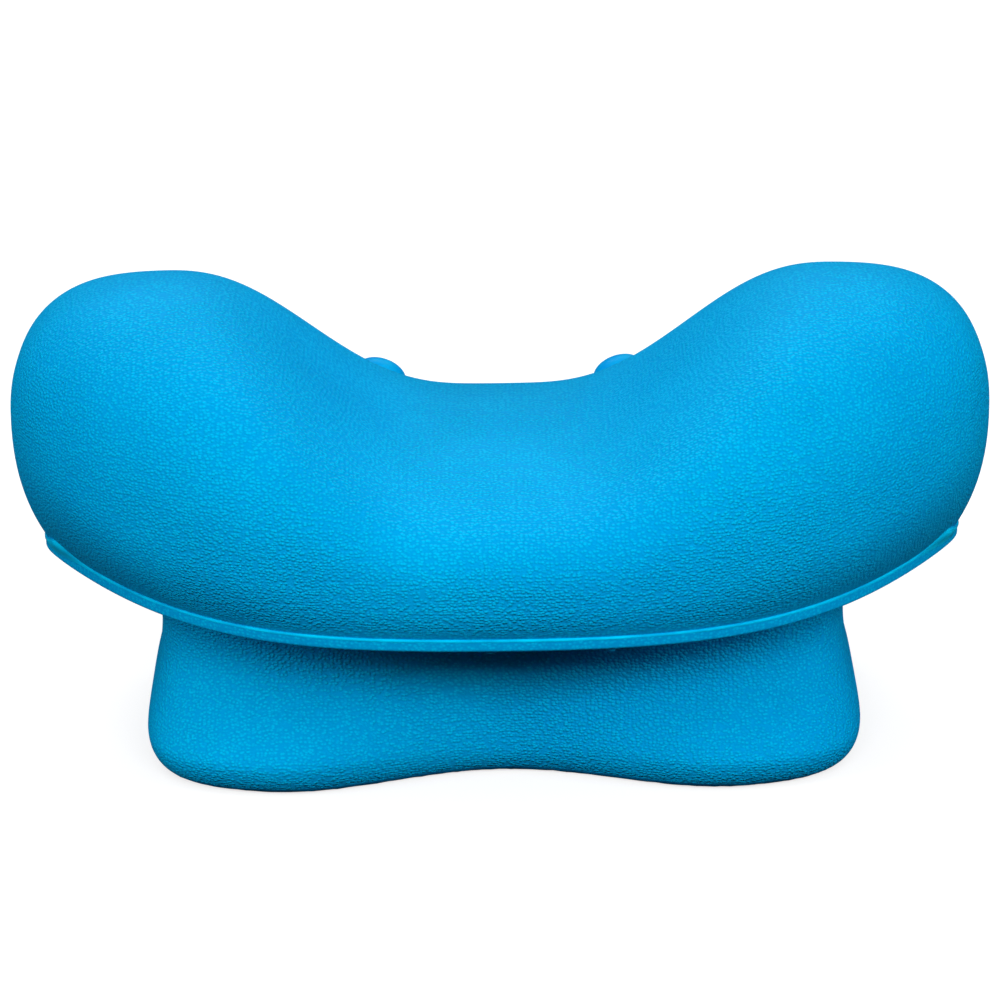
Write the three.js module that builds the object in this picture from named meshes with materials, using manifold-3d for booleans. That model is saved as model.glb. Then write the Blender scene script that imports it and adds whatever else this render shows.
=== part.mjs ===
// Cervical traction device: a moulded soft foam neck rest. A crescent bolster with a trough for
// the neck between two raised horns stands on a bow-tie foot, with massage nubs on its head side.
// Millimetres, +Z up, +X to the right, the bulging front towards -Y. The origin is on the floor,
// under the middle of the outline.
//
// The moulding is built in the layers that it has: a foam core, a tough skin round it in three
// fields (top, underside and sole), the bead where the two mould halves met, the solid nubs and
// the two nibs left by the mould's vents.

import * as THREE from 'three';
import { mergeVertices } from 'three/addons/utils/BufferGeometryUtils.js';
import Module from 'manifold-3d';

const wasm = await Module();
wasm.setup();

// ---- Driving dimensions ----

// The bolster in plan: a fat superellipse along a spine that is bent into a crescent.
const HALF_WIDTH = 123;
const FRONT_DEPTH = 66.5;
const REAR_DEPTH = 74;
const FRONT_PLAN_POWER = 3.2;
const REAR_PLAN_POWER = 2.8;
const SPINE_Y = -6.1;
const BEND = 0.0012;
const REAR_BEND = 0.0009;

// The bolster in section: the crest line, the widest line and the parting line below it.
const CREST_HALF_LENGTH = 83;
const TROUGH_HEIGHT = 81.7;
const HORN_HEIGHT = 116.6;
const TROUGH_START = 7;
const TROUGH_END = 85.5;
const BULGE_HEIGHT = 58;
const BULGE_LIFT = 24.2;
const SIDE_POWER = 2.37;
const FRONT_POWER = 2.8;
const REAR_POWER = 2;
const PARTING_HEIGHT = 49.3;
const ROLL_SIDE_INSET = 7.5;
const ROLL_DEPTH_INSET = 2.5;
const CORNER_INSET = 2.57e-7;
const UPPER_CORNER_SHARE = 0.35;
const ROLL_POWER = 2.17;
const BAND_HEIGHT = 2.6;

// The foot: a waist under the bolster, flaring to a bow-tie sole with a rounded bottom edge.
const WAIST_HEIGHT = 33;
const WAIST_HALF_WIDTH = 86;
const WAIST_HALF_DEPTH = 42;
const WAIST_POWER = 4;
const FOOT_HALF_WIDTH = 89.9;
const FOOT_HALF_DEPTH = 57.8;
const FOOT_POWER = 5;
const FOOT_Y = 4.9;
const VALLEY_DEPTH = 14.2;
const VALLEY_HALF_WIDTH = 58.5;
const VALLEY_FADE = 20;
const EDGE_HEIGHT = 8;
const EDGE_INSET = 6.3;
const FLARE_START_POWER = 2;
const FLARE_END_POWER = 1.6;

// The layers and the clearance between neighbours.
const SKIN = 2;
const GAP = 0.3;
const MERGE_DISTANCE = 0.003;
const BEAD_THICKNESS = 0.6;
const BEAD_STAND_OUT = 0.5;

// The nubs: on each side, how far out and how far behind the spine each one stands.
const NUB_RADIUS = 7;
const NUB_HEIGHT = 5;
const NUB_ROOT = 7;
const NUB_PLACES = [
  { name: 'upper', x: 31.5, behind: 68 },
  { name: 'lower', x: 17, behind: 73.2 },
];

// The vent nibs under the front band.
const NIB_RADIUS = 1.4;
const NIB_HEIGHT = 1.1;
const NIB_INSET = 1.6;
const NIB_PLACES = { left: -3, right: 26 };

// The fineness of the surfaces.
const AROUND = 56;
const UPPER_LEVELS = 8;
const ROLL_LEVELS = 3;
const FILLET_LEVELS = 5;
const FLARE_LEVELS = 5;
const EDGE_LEVELS = 2;
const NUB_SIDES = 12;

// ---- Materials ----

const plastic = (color, roughness) => new THREE.MeshStandardMaterial({ color, roughness, metalness: 0 });
const skinMaterial = () => plastic(0x02a4e0, 0.45);
const coreMaterial = () => plastic(0x3db4e4, 0.95);
const nubMaterial = () => plastic(0x0a9fdc, 0.35);
const beadMaterial = () => plastic(0x2bb0e8, 0.5);

// ---- Small helpers ----

const between = (start, end, share) => start + (end - start) * share;

function easeInOut(share) {
  const t = THREE.MathUtils.clamp(share, 0, 1);
  return t * t * t * (t * (6 * t - 15) + 10);
}

// The directions in which every level curve has its points, the first towards +X.
const turns = Array.from({ length: AROUND }, (_, i) => (2 * Math.PI * i) / AROUND);

// The point of a superellipse of half width and half depth 1 in one of those directions. The rear
// half may have a power of its own, and then keeps the front half's way across.
function unitOutline(turn, power, rearPower = power) {
  const [x, y] = [Math.cos(turn), Math.sin(turn)];
  const size = (Math.abs(x) ** power + Math.abs(y) ** power) ** (1 / power);
  const across = x / size;
  const back = y > 0 ? (1 - Math.abs(across) ** rearPower) ** (1 / rearPower) : y / size;
  return [across, back];
}

// ---- The bolster's level curves ----

const crestHeight = (x) => {
  const climb = easeInOut((Math.abs(x) - TROUGH_START) / (TROUGH_END - TROUGH_START));
  return between(TROUGH_HEIGHT, HORN_HEIGHT, climb);
};

const bulgeHeight = (x) => BULGE_HEIGHT + BULGE_LIFT * (x / HALF_WIDTH) ** 2;

const spineY = (x) => SPINE_Y + BEND * x * x;

// How square the section is: most at the middle of the front, least at the rear.
function sectionPower(x, back) {
  if (back > 0) return between(SIDE_POWER, REAR_POWER, back);
  const middle = 1 - easeInOut(Math.abs(x) / TROUGH_END);
  return between(SIDE_POWER, FRONT_POWER, -back * middle);
}

// One closed level curve of the bolster. Fullness is 0 on the crest and 1 from the widest line
// down, and underRoll is 0 above that line and 1 at the parting line.
function bolsterLoop({ halfWidth, frontDepth, rearDepth, heightAt, fullness = 1, underRoll = 0 }) {
  return turns.map((turn) => {
    const [across, back] = unitOutline(turn, FRONT_PLAN_POWER, REAR_PLAN_POWER);
    const x = halfWidth * across;
    const depth = back < 0 ? frontDepth : rearDepth;
    const rearBend = REAR_BEND * x * x * Math.max(back, 0) * fullness;
    const cornerShare = between(UPPER_CORNER_SHARE * fullness, 1, underRoll);
    const cornerInset = CORNER_INSET * x ** 4 * Math.max(-back, 0) * cornerShare;
    const y = spineY(x) + depth * back + rearBend + cornerInset;
    return new THREE.Vector3(x, y, heightAt(x, back));
  });
}

// The level curves from the crest line down to the widest line, and on to the parting line, all
// of them drawn in from the outer surface by inset. The first one has shrunk to the crest line,
// which it runs along twice.
function upperLoops(inset) {
  const loops = [];
  for (let i = 0; i <= UPPER_LEVELS; i += 1) {
    const angle = (Math.PI / 2) * (1 - i / UPPER_LEVELS);
    const fullness = i === 0 ? 0 : Math.cos(angle) ** (2 / SIDE_POWER);
    const halfWidth = between(CREST_HALF_LENGTH, HALF_WIDTH - inset, fullness);
    const heightAt = (x, back) => {
      const power = sectionPower(x, back);
      const rise = (1 - fullness ** power) ** (1 / power);
      return between(bulgeHeight(x), crestHeight(x) - inset, rise);
    };
    const frontDepth = (FRONT_DEPTH - inset) * fullness;
    const rearDepth = (REAR_DEPTH - inset) * fullness;
    loops.push(bolsterLoop({ halfWidth, frontDepth, rearDepth, heightAt, fullness }));
  }
  for (let i = 1; i <= ROLL_LEVELS; i += 1) {
    const drop = i / ROLL_LEVELS;
    loops.push(rollLoop(inset, drop, (x) => between(bulgeHeight(x), PARTING_HEIGHT, drop)));
  }
  return loops;
}

// A level curve of the roll under the widest line: drop is 0 there and 1 at the parting line.
function rollLoop(inset, drop, heightAt) {
  const underRoll = drop ** ROLL_POWER;
  const halfWidth = HALF_WIDTH - ROLL_SIDE_INSET * underRoll - inset;
  const frontDepth = FRONT_DEPTH - ROLL_DEPTH_INSET * underRoll - inset;
  const rearDepth = REAR_DEPTH - ROLL_DEPTH_INSET * underRoll - inset;
  return bolsterLoop({ halfWidth, frontDepth, rearDepth, heightAt, underRoll });
}

const rimLoop = (inset, z) => rollLoop(inset, 1, () => z);

// ---- The foot's level curves ----

function waistPoint(turn, inset) {
  const [across, back] = unitOutline(turn, WAIST_POWER);
  const x = (WAIST_HALF_WIDTH - inset) * across;
  const y = (WAIST_HALF_DEPTH - inset) * back;
  return new THREE.Vector3(x, FOOT_Y + y, 0);
}

// The foot's outline is nearly a rectangle, drawn in at the middle of its front and its back.
function footPoint(turn, inset) {
  const [across, back] = unitOutline(turn, FOOT_POWER);
  const x = (FOOT_HALF_WIDTH - inset) * across;
  const y = (FOOT_HALF_DEPTH - inset) * back;
  const nearness = Math.max(0, 1 - Math.abs(x) / VALLEY_HALF_WIDTH);
  const valley = VALLEY_DEPTH * (0.5 - 0.5 * Math.cos(Math.PI * nearness));
  const fade = Math.min(1, Math.abs(y) / VALLEY_FADE);
  return new THREE.Vector3(x, FOOT_Y + y - Math.sign(y) * valley * fade, 0);
}

const atHeight = (point, z) => new THREE.Vector3(point.x, point.y, z);

// The rounded bottom edge, from its widest line at roundness 0 to the flat sole at roundness 1.
function edgeLoop(inset, roundness) {
  const angle = (Math.PI / 2) * roundness;
  const z = EDGE_HEIGHT * (1 - Math.sin(angle));
  const drawn = inset + EDGE_INSET * (1 - Math.cos(angle));
  return turns.map((turn) => atHeight(footPoint(turn, drawn), z));
}

const edgeRoundnessAt = (z) => Math.asin(1 - z / EDGE_HEIGHT) / (Math.PI / 2);

// The level curves from the rim down through the hollow under the wings, the waist and the flare
// to the height endZ on the rounded edge.
function lowerLoops(inset, rimZ, endZ) {
  const rim = rimLoop(inset, rimZ);
  const loops = [rim];
  for (let i = 1; i <= FILLET_LEVELS; i += 1) {
    const angle = (Math.PI / 2) * (i / FILLET_LEVELS);
    const z = between(WAIST_HEIGHT, rimZ, Math.cos(angle));
    loops.push(rim.map((point, k) => atHeight(
      point.clone().lerp(waistPoint(turns[k], inset), Math.sin(angle)), z)));
  }
  for (let i = 1; i <= FLARE_LEVELS; i += 1) {
    const drop = i / FLARE_LEVELS;
    const reach = 1 - (1 - drop ** FLARE_START_POWER) ** FLARE_END_POWER;
    const z = between(WAIST_HEIGHT, EDGE_HEIGHT, drop);
    loops.push(turns.map((turn) => atHeight(
      waistPoint(turn, inset).lerp(footPoint(turn, inset), reach), z)));
  }
  for (let i = 1; i <= EDGE_LEVELS; i += 1) {
    loops.push(edgeLoop(inset, (edgeRoundnessAt(endZ) * i) / EDGE_LEVELS));
  }
  return loops;
}

// ---- Closed meshes from level curves ----

// The triangles between each level curve and the next, as a list of corners that faces outwards
// when the curves run down the outside of a body.
function sheet(loops) {
  const corners = [];
  for (let level = 0; level + 1 < loops.length; level += 1) {
    for (let k = 0; k < AROUND; k += 1) {
      const next = (k + 1) % AROUND;
      const [a, b] = [loops[level][k], loops[level][next]];
      const [c, d] = [loops[level + 1][next], loops[level + 1][k]];
      corners.push(a, d, c, a, c, b);
    }
  }
  return corners;
}

const turnedOver = (corners) => corners.slice().reverse();

// Sheets that close on each other, as one mesh with shared corners.
function closedGeometry(...sheets) {
  const corners = sheets.flat();
  const geometry = new THREE.BufferGeometry().setFromPoints(corners);
  return withoutSlivers(mergeVertices(geometry, MERGE_DISTANCE));
}

// Drops the triangles that the merging has shrunk to a line.
function withoutSlivers(geometry) {
  const corners = geometry.index.array;
  const kept = [];
  for (let i = 0; i < corners.length; i += 3) {
    const [a, b, c] = corners.slice(i, i + 3);
    if (a !== b && b !== c && c !== a) kept.push(a, b, c);
  }
  geometry.setIndex(kept);
  return geometry;
}

// A level curve shrunk to a point over the middle of the foot, to close a flat face.
const centreLoop = (z) => turns.map(() => new THREE.Vector3(0, FOOT_Y, z));

// A shell between two stacks of curves that both start as a closed crest and end in an open rim.
const cappedShell = (outer, inner) => closedGeometry(
  sheet(outer), sheet([outer.at(-1), inner.at(-1)]), turnedOver(sheet(inner)));

// A shell between two stacks of curves that are open at both ends.
const openShell = (outer, inner) => closedGeometry(
  sheet([inner[0], ...outer, inner.at(-1)]), turnedOver(sheet(inner)));

function mesh(name, geometry, material) {
  const part = new THREE.Mesh(geometry, material);
  part.name = name;
  return part;
}

// ---- Booleans ----

function toSolid(geometry) {
  const bare = geometry.clone();
  bare.deleteAttribute('normal');
  bare.deleteAttribute('uv');
  const merged = withoutSlivers(mergeVertices(bare));
  return new wasm.Manifold(new wasm.Mesh({
    numProp: 3,
    vertProperties: new Float32Array(merged.attributes.position.array),
    triVerts: new Uint32Array(merged.index.array),
  }));
}

function fromSolid(solid) {
  const { vertProperties, triVerts } = solid.getMesh();
  const geometry = new THREE.BufferGeometry();
  geometry.setAttribute('position', new THREE.Float32BufferAttribute(vertProperties, 3));
  geometry.setIndex(Array.from(triVerts));
  return geometry;
}

// ---- The sub-parts ----

// The foam inside, one gap in from the skin all round.
function foamCore() {
  const inset = SKIN + GAP;
  const floor = SKIN + GAP;
  const lower = lowerLoops(inset, PARTING_HEIGHT - BEAD_THICKNESS - GAP, floor);
  return mesh('foam_core', closedGeometry(sheet([...upperLoops(inset), ...lower, centreLoop(floor)])),
    coreMaterial());
}

// The skin over the bolster, from the crest to the parting line.
function topSkin() {
  return mesh('top_skin', cappedShell(upperLoops(0), upperLoops(SKIN)), skinMaterial());
}

// The skin from the parting line down the wings' undersides, the waist and the flare.
function undersideSkin() {
  const top = PARTING_HEIGHT - BEAD_THICKNESS - 2 * GAP;
  const floor = SKIN + GAP;
  const outer = [rimLoop(0, top), ...lowerLoops(0, PARTING_HEIGHT - BAND_HEIGHT, floor)];
  return mesh('underside_skin', openShell(outer, lowerLoops(SKIN, top, floor)), skinMaterial());
}

// The flat sole with the lower half of the rounded edge.
function soleSkin() {
  const start = edgeRoundnessAt(SKIN);
  const edge = [0, 0.5, 1].map((share) => edgeLoop(0, between(start, 1, share)));
  return mesh('sole_skin', closedGeometry(sheet([centreLoop(SKIN), ...edge, centreLoop(0)])),
    skinMaterial());
}

// The thin bead between the two mould halves, all round the bolster.
function partingBead() {
  const top = PARTING_HEIGHT - GAP;
  const bottom = top - BEAD_THICKNESS;
  const outer = [rimLoop(-BEAD_STAND_OUT, top), rimLoop(-BEAD_STAND_OUT, bottom)];
  const inner = [rimLoop(SKIN, top), rimLoop(SKIN, bottom)];
  return mesh('parting_line_bead', openShell(outer, inner), beadMaterial());
}

// Where a vertical line meets the top skin, and the way the skin faces there.
function onTopSkin(x, y) {
  const target = new THREE.Mesh(closedGeometry(sheet(upperLoops(0))),
    new THREE.MeshBasicMaterial({ side: THREE.DoubleSide }));
  const ray = new THREE.Raycaster(new THREE.Vector3(x, y, 2 * HORN_HEIGHT),
    new THREE.Vector3(0, 0, -1));
  const { point, face } = ray.intersectObject(target)[0];
  return { point, normal: face.normal };
}

// One nub: a short peg with a domed end, its root cut to the skin that it stands on.
function nub(name, x, y, skinSolid) {
  const profile = new THREE.Path();
  profile.moveTo(0, -NUB_ROOT);
  profile.lineTo(NUB_RADIUS, -NUB_ROOT);
  profile.lineTo(NUB_RADIUS, 0);
  profile.absellipse(0, 0, NUB_RADIUS, NUB_HEIGHT, 0, Math.PI / 2);
  const dome = new THREE.LatheGeometry(profile.getPoints(5), NUB_SIDES);
  const { point, normal } = onTopSkin(x, y);
  const axis = new THREE.Vector3(0, 1, 0);
  dome.applyQuaternion(new THREE.Quaternion().setFromUnitVectors(axis, normal));
  dome.translate(...point);
  return mesh(name, fromSolid(toSolid(dome).subtract(skinSolid)), nubMaterial());
}

function nubs() {
  const parting = turns.map(() => new THREE.Vector3(0, SPINE_Y, PARTING_HEIGHT));
  const skinSolid = toSolid(closedGeometry(sheet([...upperLoops(-GAP), parting])));
  const sides = { left: -1, right: 1 };
  return NUB_PLACES.flatMap((place) => Object.entries(sides).map(([side, sign]) =>
    nub(`nub_${place.name}_${side}`, sign * place.x, spineY(place.x) + place.behind, skinSolid)));
}

// The two nibs under the front band.
function ventNibs() {
  return Object.entries(NIB_PLACES).map(([side, x]) => {
    const nib = mesh(`vent_nib_${side}`,
      new THREE.CylinderGeometry(NIB_RADIUS, NIB_RADIUS, NIB_HEIGHT, 10), skinMaterial());
    const front = spineY(x) - FRONT_DEPTH + ROLL_DEPTH_INSET;
    nib.rotation.x = Math.PI / 2;
    nib.position.set(x, front + NIB_INSET + NIB_RADIUS,
      PARTING_HEIGHT - BAND_HEIGHT - GAP - NIB_HEIGHT / 2);
    return nib;
  });
}

const device = new THREE.Group();
device.add(foamCore(), topSkin(), undersideSkin(), soleSkin(), partingBead());
device.add(...nubs(), ...ventNibs());

export default device;
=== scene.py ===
"""Visual model of the cervical traction device: a neck rest moulded in soft self-skinned foam.

The surfaces are stacks of closed level curves, as in the frame's solids, but fine enough to look
smooth. The bulging front is towards -Y and the head side, with the nubs, towards +Y. Metres.
"""
import math

import bmesh
import bpy
from mathutils import Matrix, Vector, noise
from mathutils.bvhtree import BVHTree


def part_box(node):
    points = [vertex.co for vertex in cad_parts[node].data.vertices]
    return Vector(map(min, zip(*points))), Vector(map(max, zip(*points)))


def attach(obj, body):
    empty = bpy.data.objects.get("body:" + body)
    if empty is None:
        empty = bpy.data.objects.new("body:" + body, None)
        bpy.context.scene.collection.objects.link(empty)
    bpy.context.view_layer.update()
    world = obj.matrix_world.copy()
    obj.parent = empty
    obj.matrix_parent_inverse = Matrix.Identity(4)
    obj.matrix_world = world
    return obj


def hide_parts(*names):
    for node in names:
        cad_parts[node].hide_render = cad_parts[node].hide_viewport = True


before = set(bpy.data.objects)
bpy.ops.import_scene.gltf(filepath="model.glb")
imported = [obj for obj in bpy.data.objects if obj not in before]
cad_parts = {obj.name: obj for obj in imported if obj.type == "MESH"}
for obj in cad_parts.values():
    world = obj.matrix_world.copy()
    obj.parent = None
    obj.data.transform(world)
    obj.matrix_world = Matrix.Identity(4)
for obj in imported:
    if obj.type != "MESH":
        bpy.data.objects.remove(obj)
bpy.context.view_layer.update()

# ---- Driving dimensions, from the frame ----

MM = 0.001
TOP_LOW, TOP_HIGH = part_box("top_skin")
SOLE_LOW, SOLE_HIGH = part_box("sole_skin")

HALF_WIDTH = TOP_HIGH.x
HORN_HEIGHT = TOP_HIGH.z
PARTING_HEIGHT = TOP_LOW.z
FRONT_DEPTH = 66.5 * MM
REAR_DEPTH = 74 * MM
SPINE_Y = TOP_LOW.y + FRONT_DEPTH
FOOT_Y = (SOLE_LOW.y + SOLE_HIGH.y) / 2
CORE_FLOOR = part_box("foam_core")[0].z

# ---- The bolster's shape ----

FRONT_PLAN_POWER = 3.2
REAR_PLAN_POWER = 2.8
BEND = 0.0012 / MM
REAR_BEND = 0.0009 / MM
CREST_HALF_LENGTH = 83 * MM
TROUGH_HEIGHT = 81.7 * MM
TROUGH_START = 7 * MM
TROUGH_END = 85.5 * MM
BULGE_HEIGHT = 58 * MM
BULGE_LIFT = 24.2 * MM
SIDE_POWER = 2.37
FRONT_POWER = 2.8
REAR_POWER = 2.0
ROLL_SIDE_INSET = 7.5 * MM
ROLL_DEPTH_INSET = 2.5 * MM
CORNER_INSET = 2.57e-7 / MM ** 3
UPPER_CORNER_SHARE = 0.35
ROLL_POWER = 2.17
BAND_HEIGHT = 3.3 * MM
BAND_MIDDLE = 47.6 * MM
BAND_ROUNDING = 0.8 * MM

# ---- The foot's shape ----

WAIST_HEIGHT = 33 * MM
WAIST_HALF_WIDTH = 86 * MM
WAIST_HALF_DEPTH = 42 * MM
WAIST_POWER = 4
FOOT_HALF_WIDTH = 89.9 * MM
FOOT_HALF_DEPTH = 57.8 * MM
FOOT_POWER = 5
VALLEY_DEPTH = 14.2 * MM
VALLEY_HALF_WIDTH = 58.5 * MM
VALLEY_FADE = 20 * MM
EDGE_HEIGHT = 8 * MM
EDGE_INSET = 6.3 * MM
EDGE_ROUGHNESS = 0.12 * MM
EDGE_ROUGHNESS_LENGTH = 1.4 * MM
SMOOTH_EDGE_RINGS = 2
FLARE_START_POWER = 2
FLARE_END_POWER = 1.6

# ---- Layers, bead, nubs and nibs ----

SKIN = 2 * MM
CORE_INSET = 2.3 * MM
SOLE_JOINT = 2.15 * MM
BEAD_TOP = 49.28 * MM
BEAD_BOTTOM = 48.55 * MM
BEAD_STAND_OUT = 0.45 * MM
BEAD_WAVE = 0.35
BEAD_WAVE_LENGTH = 5 * MM
BEAD_CHIP = 0.2
BEAD_CHIP_LENGTH = 1.3 * MM
BAND_STAND_OUT = 0.35 * MM
FLASH_STAND_OUT = 2.4 * MM
FLASH_RISE = 3.5 * MM
FLASH_PLACE = 0.955
FLASH_SPREAD = 0.03
NUB_RADIUS = 7 * MM
NUB_HEIGHT = 5 * MM
NUB_FILLET = 1.5 * MM
NUB_SINK = 0.4 * MM
NUB_BLEND_START = 0.6 * NUB_FILLET
NUB_PLACES = {"upper": (31.5 * MM, 68 * MM), "lower": (17 * MM, 73.2 * MM)}
SIDES = {"left": -1, "right": 1}
NIB_SINK = 0.4 * MM
NIB_EXTRA_LENGTH = 0.6 * MM
NIB_TEAR = 0.3 * MM
NIB_TEAR_SEED = 3
NIB_TEAR_LENGTH = 1.3

# ---- Fineness ----

AROUND = 320
UPPER_LEVELS = 64
ROLL_LEVELS = 14
FILLET_LEVELS = 18
FLARE_LEVELS = 22
EDGE_LEVELS = 8
CAP_RINGS = 12
ROUNDING_LEVELS = 4
NUB_BLEND_LEVELS = 6
INNER_DETAIL = 4
CORE_DETAIL = 2
NUB_SIDES = 64
NIB_SIDES = 32
NUB_RINGS = 14
SMOOTH_ANGLE = math.radians(38)


# ---- Small helpers ----

def between(start, end, share):
    return start + (end - start) * share


def ease_in_out(share):
    t = min(1, max(0, share))
    return t ** 3 * (t * (6 * t - 15) + 10)


def uneven(x, y, z, wavelength, seed=0):
    """A smooth irregular number from -1 to 1 that varies over about one wavelength."""
    return noise.noise(Vector((x, y, z)) / wavelength + Vector((seed, seed, seed)))


# The directions in which every level curve has its points, the first towards +X.
TURNS = [2 * math.pi * i / AROUND for i in range(AROUND)]


def unit_outline(turn, power, rear_power):
    """The point of a superellipse of half width and half depth 1 in one of those directions."""
    x, y = math.cos(turn), math.sin(turn)
    size = (abs(x) ** power + abs(y) ** power) ** (1 / power)
    across = x / size
    if y > 0:
        return across, max(0, 1 - abs(across) ** rear_power) ** (1 / rear_power)
    return across, y / size


BOLSTER_PLAN = [unit_outline(turn, FRONT_PLAN_POWER, REAR_PLAN_POWER) for turn in TURNS]
WAIST_PLAN = [unit_outline(turn, WAIST_POWER, WAIST_POWER) for turn in TURNS]
FOOT_PLAN = [unit_outline(turn, FOOT_POWER, FOOT_POWER) for turn in TURNS]


# ---- The bolster's level curves ----

def crest_height(x):
    climb = ease_in_out((abs(x) - TROUGH_START) / (TROUGH_END - TROUGH_START))
    return between(TROUGH_HEIGHT, HORN_HEIGHT, climb)


def bulge_height(x):
    return BULGE_HEIGHT + BULGE_LIFT * (x / HALF_WIDTH) ** 2


def spine_y(x):
    return SPINE_Y + BEND * x * x


def bolster_point(k, half_width, front_depth, rear_depth, fullness=1, under_roll=0):
    """A level curve's point k in plan. Fullness is 0 on the crest and 1 from the widest line
    down, and under_roll is 0 above that line and 1 at the parting line."""
    across, back = BOLSTER_PLAN[k]
    x = half_width * across
    depth = front_depth if back < 0 else rear_depth
    rear_bend = REAR_BEND * x * x * max(back, 0) * fullness
    corner_share = between(UPPER_CORNER_SHARE * fullness, 1, under_roll)
    corner_inset = CORNER_INSET * x ** 4 * max(-back, 0) * corner_share
    return x, spine_y(x) + depth * back + rear_bend + corner_inset


def section_power(x, back):
    """How square the section is: most at the middle of the front, least at the rear."""
    if back > 0:
        return between(SIDE_POWER, REAR_POWER, back)
    middle = 1 - ease_in_out(abs(x) / TROUGH_END)
    return between(SIDE_POWER, FRONT_POWER, middle * -back)


def upper_ring(inset, share):
    """The level curve that lies a share of the way round from the crest to the widest line."""
    fullness = math.sin(math.pi / 2 * share) ** (2 / SIDE_POWER)
    half_width = between(CREST_HALF_LENGTH, HALF_WIDTH - inset, fullness)
    ring = []
    for k in range(AROUND):
        x, y = bolster_point(k, half_width, (FRONT_DEPTH - inset) * fullness,
                             (REAR_DEPTH - inset) * fullness, fullness)
        power = section_power(x, BOLSTER_PLAN[k][1])
        rise = (1 - fullness ** power) ** (1 / power)
        ring.append(Vector((x, y, between(bulge_height(x), crest_height(x) - inset, rise))))
    return ring


def roll_point(k, inset, drop):
    under_roll = drop ** ROLL_POWER
    return bolster_point(k, HALF_WIDTH - ROLL_SIDE_INSET * under_roll - inset,
                         FRONT_DEPTH - ROLL_DEPTH_INSET * under_roll - inset,
                         REAR_DEPTH - ROLL_DEPTH_INSET * under_roll - inset, under_roll=under_roll)


def roll_ring(inset, drop):
    """The level curve under the widest line, where drop is 0, down to the parting line, at 1."""
    ring = []
    for k in range(AROUND):
        x, y = roll_point(k, inset, drop)
        ring.append(Vector((x, y, between(bulge_height(x), PARTING_HEIGHT, drop))))
    return ring


def upper_rings(inset, levels, roll_levels):
    rings = [upper_ring(inset, i / levels) for i in range(levels + 1)]
    return rings + [roll_ring(inset, i / roll_levels) for i in range(1, roll_levels + 1)]


def rim_ring(inset, z):
    return [Vector((*roll_point(k, inset, 1), z)) for k in range(AROUND)]


# ---- The foot's level curves ----

def waist_point(k, inset):
    across, back = WAIST_PLAN[k]
    return Vector(((WAIST_HALF_WIDTH - inset) * across,
                   FOOT_Y + (WAIST_HALF_DEPTH - inset) * back, 0))


def foot_point(k, inset):
    """The foot's outline is nearly a rectangle, drawn in at the middle of its front and back."""
    across, back = FOOT_PLAN[k]
    x = (FOOT_HALF_WIDTH - inset) * across
    y = (FOOT_HALF_DEPTH - inset) * back
    nearness = max(0, 1 - abs(x) / VALLEY_HALF_WIDTH)
    valley = VALLEY_DEPTH * (0.5 - 0.5 * math.cos(math.pi * nearness))
    fade = min(1, abs(y) / VALLEY_FADE)
    return Vector((x, FOOT_Y + y - math.copysign(valley * fade, y), 0))


def edge_ring(inset, roundness):
    """The rounded bottom edge, from its widest line at roundness 0 to the flat sole at 1."""
    angle = math.pi / 2 * roundness
    z = EDGE_HEIGHT * (1 - math.sin(angle))
    drawn = inset + EDGE_INSET * (1 - math.cos(angle))
    ring = []
    for k in range(AROUND):
        point = foot_point(k, drawn)
        point.z = z
        ring.append(point)
    return ring


def edge_roundness_at(z):
    return math.asin(1 - z / EDGE_HEIGHT) / (math.pi / 2)


def lower_rings(inset, rim_z, end_z, detail=1):
    """The level curves from the rim down through the hollow under the wings, the waist and the
    flare to a height on the rounded edge. Detail divides the number of levels."""
    rings = []
    rim = rim_ring(inset, rim_z)
    fillet_levels = FILLET_LEVELS // detail
    for i in range(fillet_levels + 1):
        angle = math.pi / 2 * i / fillet_levels
        ring = []
        for k in range(AROUND):
            point = rim[k].lerp(waist_point(k, inset), math.sin(angle))
            point.z = between(WAIST_HEIGHT, rim_z, math.cos(angle))
            ring.append(point)
        rings.append(ring)
    flare_levels = FLARE_LEVELS // detail
    for i in range(1, flare_levels + 1):
        drop = i / flare_levels
        reach = 1 - (1 - drop ** FLARE_START_POWER) ** FLARE_END_POWER
        ring = []
        for k in range(AROUND):
            point = waist_point(k, inset).lerp(foot_point(k, inset), reach)
            point.z = between(WAIST_HEIGHT, EDGE_HEIGHT, drop)
            ring.append(point)
        rings.append(ring)
    edge_levels = EDGE_LEVELS // detail
    end = edge_roundness_at(end_z)
    return rings + [edge_ring(inset, end * i / edge_levels) for i in range(1, edge_levels + 1)]


# ---- Meshes from rings ----

def new_piece(name, bm, material):
    """A smooth-shaded object on the frame's body, with its normals facing outwards."""
    bmesh.ops.remove_doubles(bm, verts=bm.verts, dist=0.001 * MM)
    bmesh.ops.recalc_face_normals(bm, faces=bm.faces)
    mesh = bpy.data.meshes.new(name)
    bm.to_mesh(mesh)
    bm.free()
    mesh.shade_smooth()
    mesh.set_sharp_from_angle(angle=SMOOTH_ANGLE)
    mesh.materials.append(material)
    piece = bpy.data.objects.new(name, mesh)
    bpy.context.scene.collection.objects.link(piece)
    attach(piece, "root")
    return piece


def ring_mesh(rings, cyclic=False):
    """The skin over a stack of rings. A stack whose end rings have shrunk to a line or a point
    is closed by them, and a cyclic stack closes on its own first ring."""
    bm = bmesh.new()
    rows = [[bm.verts.new(point) for point in ring] for ring in rings]
    if cyclic:
        rows.append(rows[0])
    for upper, lower in zip(rows, rows[1:]):
        for k in range(len(upper)):
            nxt = (k + 1) % len(upper)
            bm.faces.new((upper[k], lower[k], lower[nxt], upper[nxt]))
    return bm


def scaled_ring(ring, centre, share, z):
    return [Vector((*centre.lerp(point, share).xy, z)) for point in ring]


# ---- Materials ----

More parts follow.
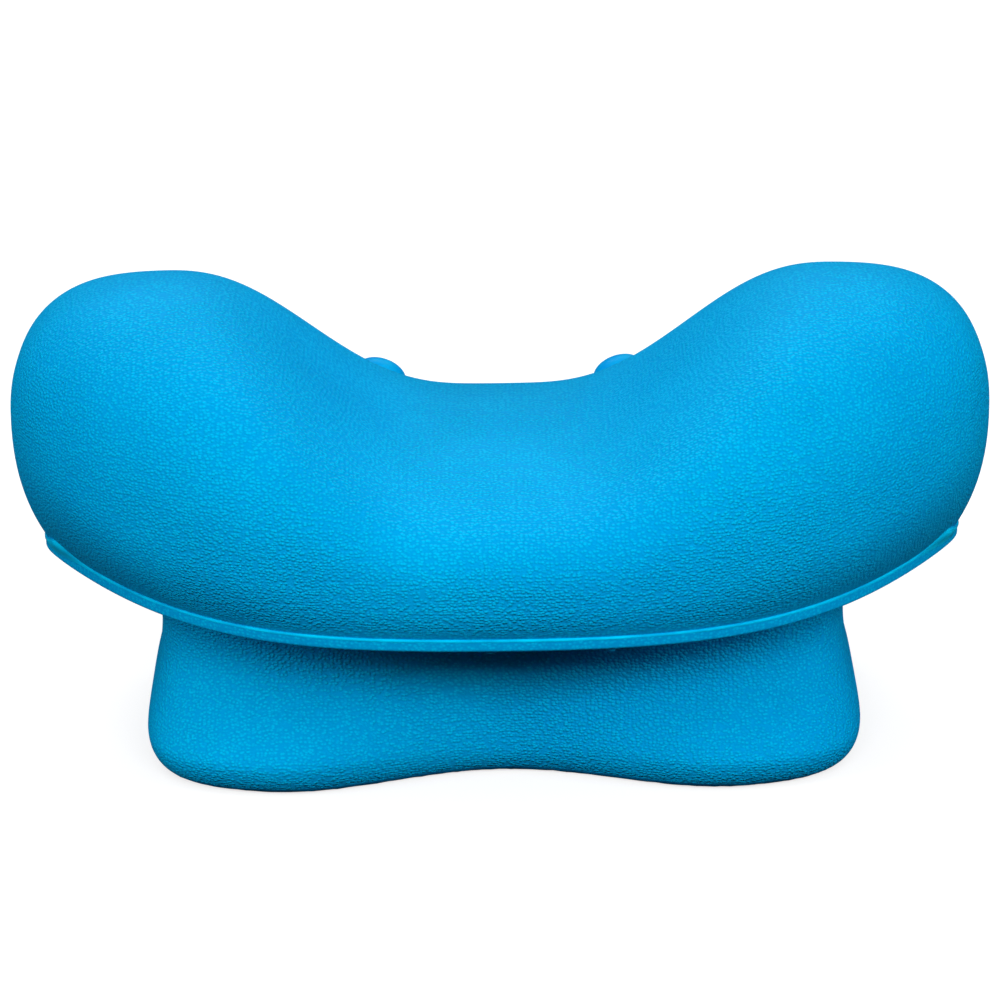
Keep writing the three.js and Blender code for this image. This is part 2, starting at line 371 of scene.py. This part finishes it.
# A mix node has a set of sockets of the same names for each data type. These are the colour ones.
MIX_FIRST_COLOUR = 6
MIX_SECOND_COLOUR = 7
MIX_COLOUR_RESULT = 2


class Shader:
    """A principled material with the nodes that its surface needs."""

    def __init__(self, name, roughness, specular=0.5):
        self.material = bpy.data.materials.new(name)
        self.material.use_nodes = True
        self.tree = self.material.node_tree
        self.principled = self.tree.nodes["Principled BSDF"]
        self.principled.inputs["Roughness"].default_value = roughness
        self.principled.inputs["Specular IOR Level"].default_value = specular
        self.place = self.tree.nodes.new("ShaderNodeTexCoord").outputs["Object"]

    def node(self, kind, settings=None, **inputs):
        made = self.tree.nodes.new(kind)
        for key, value in (settings or {}).items():
            setattr(made, key, value)
        for key, value in inputs.items():
            self.feed(made.inputs[key.replace("_", " ")], value)
        return made

    def feed(self, socket, value):
        if isinstance(value, bpy.types.NodeSocket):
            self.tree.links.new(value, socket)
        else:
            socket.default_value = value

    def height(self):
        return self.node("ShaderNodeSeparateXYZ", Vector=self.place).outputs["Z"]

    def noise(self, length, detail=2, output="Fac"):
        made = self.node("ShaderNodeTexNoise", Vector=self.place, Scale=1 / length, Detail=detail)
        return made.outputs[output]

    def cells(self, size, place=None, randomness=1):
        """The distance from the nearest of the points that are scattered about one size apart."""
        made = self.node("ShaderNodeTexVoronoi", Vector=place or self.place, Scale=1 / size,
                         Randomness=randomness)
        return made.outputs["Distance"]

    def map(self, value, low, high, to_low=0, to_high=1, smooth=True):
        kind = "SMOOTHSTEP" if smooth else "LINEAR"
        made = self.node("ShaderNodeMapRange", {"interpolation_type": kind}, Value=value,
                         From_Min=low, From_Max=high, To_Min=to_low, To_Max=to_high)
        return made.outputs["Result"]

    def math(self, operation, first, second):
        made = self.node("ShaderNodeMath", {"operation": operation})
        self.feed(made.inputs[0], first)
        self.feed(made.inputs[1], second)
        return made.outputs["Value"]

    def mix(self, share, first, second):
        made = self.node("ShaderNodeMix", {"data_type": "RGBA"})
        self.feed(made.inputs["Factor"], share)
        self.feed(made.inputs[MIX_FIRST_COLOUR], first)
        self.feed(made.inputs[MIX_SECOND_COLOUR], second)
        return made.outputs[MIX_COLOUR_RESULT]

    def bump(self, height, distance, normal=None):
        made = self.node("ShaderNodeBump", Height=height, Distance=distance)
        if normal:
            self.feed(made.inputs["Normal"], normal)
        return made.outputs["Normal"]

    def finish(self, colour, normal, roughness=None):
        self.feed(self.principled.inputs["Base Color"], colour)
        self.feed(self.principled.inputs["Normal"], normal)
        if roughness:
            self.feed(self.principled.inputs["Roughness"], roughness)
        return self.material


BLUE = (0.0, 0.36, 0.67, 1)
# A darker blue for random clouds on the nubs, and for painted shade on the sole.
DEEP_CLOUD_AND_SHADE_BLUE = (0.0, 0.28, 0.66, 1)
# A darker blue for random clouds, and for painted shade in the pores and on the sole.
SHADE_AND_CLOUD_BLUE = (0.0, 0.20, 0.54, 1)
# A lighter blue for painted highlights on the pebbles' tops and on the parting bead.
HIGHLIGHT_BLUE = (0.0, 0.52, 0.82, 1)
# A darker blue for painted shade in the foam's pits.
FOAM_PIT_SHADE = (0.02, 0.30, 0.62, 1)
FOAM_WALL = (0.08, 0.52, 0.86, 1)
SPECK = (0.0, 0.03, 0.10, 1)
TINT = (0.0, 0.8, 1.0, 1)
SKIN_SPECULAR = 0.02

# The grain: the pebbles' size, how evenly they stand, how high they are and how their rows waver.
PEBBLE = 0.85 * MM
PEBBLE_RANDOMNESS = 0.7
PEBBLE_STRETCH = (0.85, 1, 1.15)
PEBBLE_HEIGHT = 0.27 * MM
ROW_WAVER = 0.8 * MM
ROW_WAVER_LENGTH = 6 * MM
# How much painted shade darkens the pores between the pebbles.
PORE_PAINTED_SHADE = 0.45
# How much painted highlight lightens the pebbles' tops.
TOP_PAINTED_HIGHLIGHT = 0.35

# What lies over the grain: weaker patches, clouds of darker blue, dark specks and shallow waves.
PATCH_LENGTH = 35 * MM
PATCH_WEAKEST = 0.65
CLOUD_LENGTH = 60 * MM
CLOUD_DARKNESS = 0.25
SPECK_SPACING = 13 * MM
WAVE_LENGTH = 22 * MM
WAVE_HEIGHT = 0.35 * MM

# The grain dies out towards the smooth band under the parting line.
CALM_FROM = 6 * MM
CALM_TO = 1.5 * MM
CALM_GRAIN = 0.1


def pebbled_skin(name):
    """Moulded leather grain: rounded pebbles in wavering rows, with painted shade darkening the
    pores between them and a painted highlight on the pebbles' tops.
    """
    shader = Shader(name, 0.42, SKIN_SPECULAR)
    shader.principled.inputs["Specular Tint"].default_value = TINT
    shift = shader.node("ShaderNodeVectorMath", {"operation": "SCALE"}, Scale=ROW_WAVER)
    shader.feed(shift.inputs[0], shader.noise(ROW_WAVER_LENGTH, output="Color"))
    moved = shader.node("ShaderNodeVectorMath", {"operation": "ADD"})
    shader.feed(moved.inputs[0], shader.place)
    shader.feed(moved.inputs[1], shift.outputs["Vector"])
    stretched = shader.node("ShaderNodeMapping", Vector=moved.outputs["Vector"],
                            Scale=PEBBLE_STRETCH)
    cells = shader.cells(PEBBLE, stretched.outputs["Vector"], PEBBLE_RANDOMNESS)
    pebble = shader.map(cells, 0.15, 0.75, 1, 0)
    patches = shader.map(shader.noise(PATCH_LENGTH), 0.35, 0.65, PATCH_WEAKEST, 1)
    band_offset = shader.math("SUBTRACT", shader.height(), BAND_MIDDLE)
    band_distance = shader.math("ABSOLUTE", band_offset, 0)
    calm = shader.map(band_distance, CALM_TO, CALM_FROM, CALM_GRAIN, 1)
    height = shader.math("MULTIPLY", shader.math("MULTIPLY", pebble, patches), calm)
    clouds = shader.map(shader.noise(CLOUD_LENGTH, 3), 0.3, 0.7)
    cloud_blue = tuple(between(a, b, CLOUD_DARKNESS) for a, b in zip(BLUE, SHADE_AND_CLOUD_BLUE))
    colour = shader.mix(clouds, BLUE, cloud_blue)
    # Painted shade: the pores between the pebbles are darkened towards the darker blue.
    colour = shader.mix(shader.map(pebble, 0, 0.8, PORE_PAINTED_SHADE, 0), colour, SHADE_AND_CLOUD_BLUE)
    # Painted highlight: the pebbles' tops are lightened towards the highlight blue.
    colour = shader.mix(shader.map(pebble, 0.7, 1, 0, TOP_PAINTED_HIGHLIGHT), colour, HIGHLIGHT_BLUE)
    dots = shader.map(shader.cells(SPECK_SPACING), 0.010, 0.016, 1, 0)
    colour = shader.mix(dots, colour, SPECK)
    normal = shader.bump(shader.noise(WAVE_LENGTH), WAVE_HEIGHT)
    normal = shader.bump(height, PEBBLE_HEIGHT, normal)
    rough = shader.map(pebble, 0, 1, 0.55, 0.40, smooth=False)
    return shader.finish(colour, normal, rough)


def smooth_rubber(name, blue, deep, roughness, depth):
    """Skin from a polished part of the mould, with only a fine unevenness."""
    shader = Shader(name, roughness, SKIN_SPECULAR)
    shader.principled.inputs["Specular Tint"].default_value = TINT
    clouds = shader.map(shader.noise(9 * MM, 3), 0.3, 0.7)
    colour = shader.mix(clouds, blue, deep)
    normal = shader.bump(shader.noise(1.2 * MM, 4), depth)
    rough = shader.map(shader.noise(3 * MM, 3), 0.3, 0.7, roughness - 0.06, roughness + 0.08)
    return shader.finish(colour, normal, rough)


def cut_foam(name):
    """Foam with its small open cells, with painted shade darkening their pits."""
    shader = Shader(name, 0.95, 0.2)
    pits = shader.map(shader.cells(0.9 * MM), 0.1, 0.6)
    # Painted shade: the pits are darker where the bump is lowest.
    colour = shader.mix(pits, FOAM_PIT_SHADE, FOAM_WALL)
    return shader.finish(colour, shader.bump(pits, 0.3 * MM))


# ---- The pieces ----

def make_top_skin(material):
    outer = upper_rings(0, UPPER_LEVELS, ROLL_LEVELS)
    inner = upper_rings(SKIN, UPPER_LEVELS // INNER_DETAIL, ROLL_LEVELS // INNER_DETAIL)
    piece = new_piece("bolster_skin", ring_mesh(outer + inner[::-1]), material)
    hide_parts("top_skin")
    return piece


def make_underside(material):
    """The band under the bead, rounded at its foot, and the skin below it down to the sole."""
    foot_of_band = PARTING_HEIGHT - BAND_HEIGHT
    rings = [rim_ring(-BAND_STAND_OUT, BEAD_BOTTOM)]
    for i in range(ROUNDING_LEVELS):
        angle = math.pi / 2 * i / ROUNDING_LEVELS
        rings.append(rim_ring(BAND_ROUNDING * (1 - math.cos(angle)) - BAND_STAND_OUT,
                              foot_of_band + BAND_ROUNDING * (1 - math.sin(angle))))
    outer = lower_rings(0, foot_of_band, SOLE_JOINT)
    flat_share = BAND_ROUNDING / WAIST_HALF_DEPTH
    rings.append([point.lerp(Vector((0, FOOT_Y, foot_of_band)), flat_share) for point in outer[0]])
    rings += outer[1:]
    inner = lower_rings(SKIN, BEAD_BOTTOM, SOLE_JOINT, INNER_DETAIL)
    piece = new_piece("wing_and_foot_skin", ring_mesh(rings + inner[::-1], cyclic=True), material)
    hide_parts("underside_skin")
    return piece


def make_sole(material):
    """The flat sole, with an edge left slightly ragged where the moulding was trimmed."""
    centre = Vector((0, FOOT_Y, 0))
    start = edge_roundness_at(SOLE_JOINT)
    edge = [edge_ring(0, between(start, 1, i / EDGE_LEVELS)) for i in range(EDGE_LEVELS + 1)]
    for level, ring in enumerate(edge[SMOOTH_EDGE_RINGS:]):
        for point in ring:
            ragged = uneven(point.x, point.y, level * MM, EDGE_ROUGHNESS_LENGTH) * EDGE_ROUGHNESS
            if ring is not edge[-1]:
                point.z = max(0, point.z + ragged)
            point.y += ragged
    shares = [i / CAP_RINGS for i in range(CAP_RINGS)]
    top = [scaled_ring(edge[0], centre, share, SOLE_JOINT) for share in shares]
    bottom = [scaled_ring(edge[-1], centre, share, 0) for share in reversed(shares)]
    piece = new_piece("sole", ring_mesh(top + edge + bottom), material)
    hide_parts("sole_skin")
    return piece


def make_core(material):
    rings = upper_rings(CORE_INSET, UPPER_LEVELS // CORE_DETAIL, ROLL_LEVELS // CORE_DETAIL)
    rings += lower_rings(CORE_INSET, BEAD_BOTTOM, CORE_FLOOR, CORE_DETAIL)
    centre = Vector((0, FOOT_Y, 0))
    bottom = [scaled_ring(rings[-1], centre, 1 - i / CAP_RINGS, CORE_FLOOR)
              for i in range(1, CAP_RINGS + 1)]
    piece = new_piece("foam_body", ring_mesh(rings + bottom), material)
    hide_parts("foam_core")
    return piece


def flash_at(k):
    """How much flash the mould left at a point of the parting line: most at the front corners."""
    across, back = BOLSTER_PLAN[k]
    if back > 0:
        return 0
    away = (abs(across) - FLASH_PLACE) / FLASH_SPREAD
    return math.exp(-away * away)


# The bead's section, from its root on the top skin round to its root on the band: how far each
# point stands out, as a share of the bead's stand-out, and how far down the bead it lies.
BEAD_SECTION = [(-4, 0.3), (0.0, 0.0), (0.5, 0.1), (0.85, 0.3), (1.0, 0.6), (0.95, 0.85),
                (0.75, 1.0), (-4, 0.9)]


def make_bead(material):
    rings = [[] for _ in BEAD_SECTION]
    for k in range(AROUND):
        x, y = roll_point(k, 0, 1)
        flash = flash_at(k)
        height = bulge_height(x) - PARTING_HEIGHT
        ragged = 1 + BEAD_WAVE * uneven(x, y, 0, BEAD_WAVE_LENGTH)
        ragged += BEAD_CHIP * uneven(x, y, 0, BEAD_CHIP_LENGTH)
        stand_out = between(BEAD_STAND_OUT * ragged, FLASH_STAND_OUT, flash)
        top = BEAD_TOP + FLASH_RISE * flash
        for ring, (out, down) in zip(rings, BEAD_SECTION):
            z = between(top, BEAD_BOTTOM, down)
            drop = 1 - max(0, z - PARTING_HEIGHT) / height
            point = roll_point(k, -stand_out * out, drop)
            ring.append(Vector((*point, z)))
    piece = new_piece("parting_bead", ring_mesh(rings, cyclic=True), material)
    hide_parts("parting_line_bead")
    return piece


# The rings that close a nub's root inside the skin, as shares of the fillet's radius.
NUB_ROOT_SHARES = (0.97, 0.5, 0)


def make_nub(name, x, y, skin, material):
    """A dome that grows out of the skin round a small fillet. Its base follows the skin."""
    down = Vector((0, 0, -1))
    root, normal, _, _ = skin.ray_cast(Vector((x, y, 2 * HORN_HEIGHT)), down)
    side = normal.cross(down).normalized()
    ahead = normal.cross(side)
    lift = NUB_HEIGHT + NUB_FILLET
    fillet_corner = NUB_RADIUS + NUB_FILLET

    def skin_point(radius, turn):
        start = root + normal * lift * 2 + side * radius * math.cos(turn)
        start += ahead * radius * math.sin(turn)
        return skin.ray_cast(start, -normal)[0]

    profile = []
    for i in range(NUB_RINGS + 1):
        angle = math.pi / 2 * i / NUB_RINGS
        profile.append((NUB_RADIUS * math.sin(angle), NUB_HEIGHT * math.cos(angle)))
    blend = [point for point in profile if point[1] > NUB_BLEND_START]
    start_radius, start_height = blend[-1]
    for i in range(1, NUB_BLEND_LEVELS + 1):
        share = i / NUB_BLEND_LEVELS
        radius = between(start_radius, fillet_corner, share)
        blend.append((radius, start_height * (1 - share) ** 2))
    blend += [(fillet_corner * share, -NUB_SINK) for share in NUB_ROOT_SHARES]
    rings = []
    for radius, height in blend:
        turns = (2 * math.pi * i / NUB_SIDES for i in range(NUB_SIDES))
        rings.append([skin_point(radius, turn) + normal * height for turn in turns])
    piece = new_piece(name + "_dome", ring_mesh(rings), material)
    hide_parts(name)


def make_nubs(top_skin, material):
    bm = bmesh.new()
    bm.from_mesh(top_skin.data)
    skin = BVHTree.FromBMesh(bm)
    bm.free()
    for place, (x, behind) in NUB_PLACES.items():
        for side, sign in SIDES.items():
            make_nub(f"nub_{place}_{side}", sign * x, spine_y(x) + behind, skin, material)


# A nib's section, from the middle of its top round to the middle of its end: how far out each point
# is, as a share of the nib's radius, and how far down the nib it lies.
NIB_SECTION = [(0, 0), (1.15, 0), (1.0, 0.25), (0.92, 0.8), (0.75, 1), (0, 1)]


def make_nib(side, material):
    """The stub of a vent: a short taper that was torn off, so its end is uneven."""
    name = f"vent_nib_{side}"
    low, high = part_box(name)
    radius = (high.x - low.x) / 2
    centre = (low + high) / 2
    top = high.z + NIB_SINK
    end = low.z - NIB_EXTRA_LENGTH
    rings = []
    for out, down in NIB_SECTION:
        ring = []
        for i in range(NIB_SIDES):
            turn = 2 * math.pi * i / NIB_SIDES
            x, y = math.cos(turn), math.sin(turn)
            torn = NIB_TEAR * uneven(x, y, centre.x, NIB_TEAR_LENGTH, NIB_TEAR_SEED) * down
            ring.append(Vector((centre.x + radius * out * x, centre.y + radius * out * y,
                                between(top, end, down) + torn)))
        rings.append(ring)
    piece = new_piece(name + "_stub", ring_mesh(rings), material)
    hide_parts(name)


skin_grain = pebbled_skin("pebbled skin")
nub_rubber = smooth_rubber("smooth nub", BLUE, DEEP_CLOUD_AND_SHADE_BLUE, 0.36, 0.03 * MM)
# Painted highlight: the parting bead is coloured in the lighter highlight blue.
bead_highlight_rubber = smooth_rubber("parting line", HIGHLIGHT_BLUE, BLUE, 0.4, 0.08 * MM)
# Painted shade: the sole is coloured in darker blues than the skin above it.
sole_shade_rubber = smooth_rubber("sole painted shade", DEEP_CLOUD_AND_SHADE_BLUE, SHADE_AND_CLOUD_BLUE, 0.6, 0.12 * MM)

bolster_skin = make_top_skin(skin_grain)
make_underside(skin_grain)
make_sole(sole_shade_rubber)
make_core(cut_foam("open foam"))
make_bead(bead_highlight_rubber)
make_nubs(bolster_skin, nub_rubber)
for nib_side in SIDES:
    make_nib(nib_side, nub_rubber)


# ---- Studio ----

# The world's strength: it rises between two heights of the direction, from a low to a high value.
WORLD_RAMP = {"From Min": 0.25, "From Max": 0.9, "To Min": 0.03, "To Max": 0.8}

FLOOR_HALF_SIZE = 40
FLOOR_DROP = 0.02 * MM
FLOOR_GREY = (0.35, 0.35, 0.35, 1)
FLOOR_GLOW = 0.72
WHITE = (1, 1, 1, 1)

CAMERA_DISTANCE = 1.3
CAMERA_ELEVATION = math.radians(20)
CAMERA_ROLL = math.radians(-0.751)
CAMERA_TARGET = Vector((0, 13.9 * MM, 55 * MM))
CAMERA_LENS = 183.7
CAMERA_SENSOR = 36
CAMERA_SHIFT = (-0.0012, -0.0028)
CAMERA_CLIP = 0.05

# Each light's place, the point that it faces, its width and height, and its power in watts.
LIGHTS = {
    "rear key": ((-0.1, 1.0, 1.0), (0, 0, 0.06), (1.4, 0.6), 9.5),
    "front fill": ((0.1, -1.2, 0.82), (0, 0, 0.05), (1.2, 0.35), 12),
    "left fill": ((-1.15, -0.6, 0.55), (0, 0, 0.05), (0.5, 0.3), 8),
    "right fill": ((1.15, -0.6, 0.55), (0, 0, 0.05), (0.5, 0.3), 8),
}


def area_light(name, place, target, size, power):
    data = bpy.data.lights.new(name, "AREA")
    data.shape = "RECTANGLE"
    data.size, data.size_y = size
    data.energy = power
    light = bpy.data.objects.new(name, data)
    light.location = place
    light.rotation_euler = (Vector(target) - Vector(place)).to_track_quat("-Z", "Y").to_euler()
    bpy.context.scene.collection.objects.link(light)


def make_floor():
    """A white floor that casts no light on the piece, so that the hollows under it stay dark."""
    bm = bmesh.new()
    bmesh.ops.create_grid(bm, x_segments=1, y_segments=1, size=FLOOR_HALF_SIZE)
    mesh = bpy.data.meshes.new("floor")
    bm.to_mesh(mesh)
    bm.free()
    shader = Shader("pale floor", 0.9, 0.1)
    shader.principled.inputs["Base Color"].default_value = FLOOR_GREY
    shader.principled.inputs["Emission Color"].default_value = WHITE
    shader.principled.inputs["Emission Strength"].default_value = FLOOR_GLOW
    mesh.materials.append(shader.material)
    floor = bpy.data.objects.new("floor", mesh)
    floor.location.z = -FLOOR_DROP
    floor.visible_diffuse = False
    floor.visible_glossy = False
    bpy.context.scene.collection.objects.link(floor)


def make_world():
    """White surroundings that are brightest from above and dim at the level of the floor."""
    world = bpy.data.worlds.new("studio")
    world.use_nodes = True
    tree = world.node_tree
    direction = tree.nodes.new("ShaderNodeTexCoord").outputs["Generated"]
    parts = tree.nodes.new("ShaderNodeSeparateXYZ")
    tree.links.new(direction, parts.inputs["Vector"])
    strength = tree.nodes.new("ShaderNodeMapRange")
    strength.interpolation_type = "SMOOTHSTEP"
    for socket, value in WORLD_RAMP.items():
        strength.inputs[socket].default_value = value
    tree.links.new(parts.outputs["Z"], strength.inputs["Value"])
    background = tree.nodes["Background"]
    tree.links.new(strength.outputs["Result"], background.inputs["Strength"])
    background.inputs["Color"].default_value = WHITE
    bpy.context.scene.world = world


def make_camera():
    """The camera looks down on the front, slightly rolled."""
    data = bpy.data.cameras.new("camera")
    data.sensor_width = CAMERA_SENSOR
    data.lens = CAMERA_LENS
    data.shift_x, data.shift_y = CAMERA_SHIFT
    data.clip_start = CAMERA_CLIP
    camera = bpy.data.objects.new("camera", data)
    ahead = Vector((0, math.cos(CAMERA_ELEVATION), -math.sin(CAMERA_ELEVATION)))
    camera.location = CAMERA_TARGET - ahead * CAMERA_DISTANCE
    level = ahead.to_track_quat("-Z", "Y").to_matrix()
    rolled = level @ Matrix.Rotation(CAMERA_ROLL, 3, "Z")
    camera.rotation_euler = rolled.to_euler()
    bpy.context.scene.collection.objects.link(camera)
    bpy.context.scene.camera = camera


make_floor()
make_world()
make_camera()
for light_name, settings in LIGHTS.items():
    area_light(light_name, *settings)
bpy.context.scene.view_settings.view_transform = "Standard"
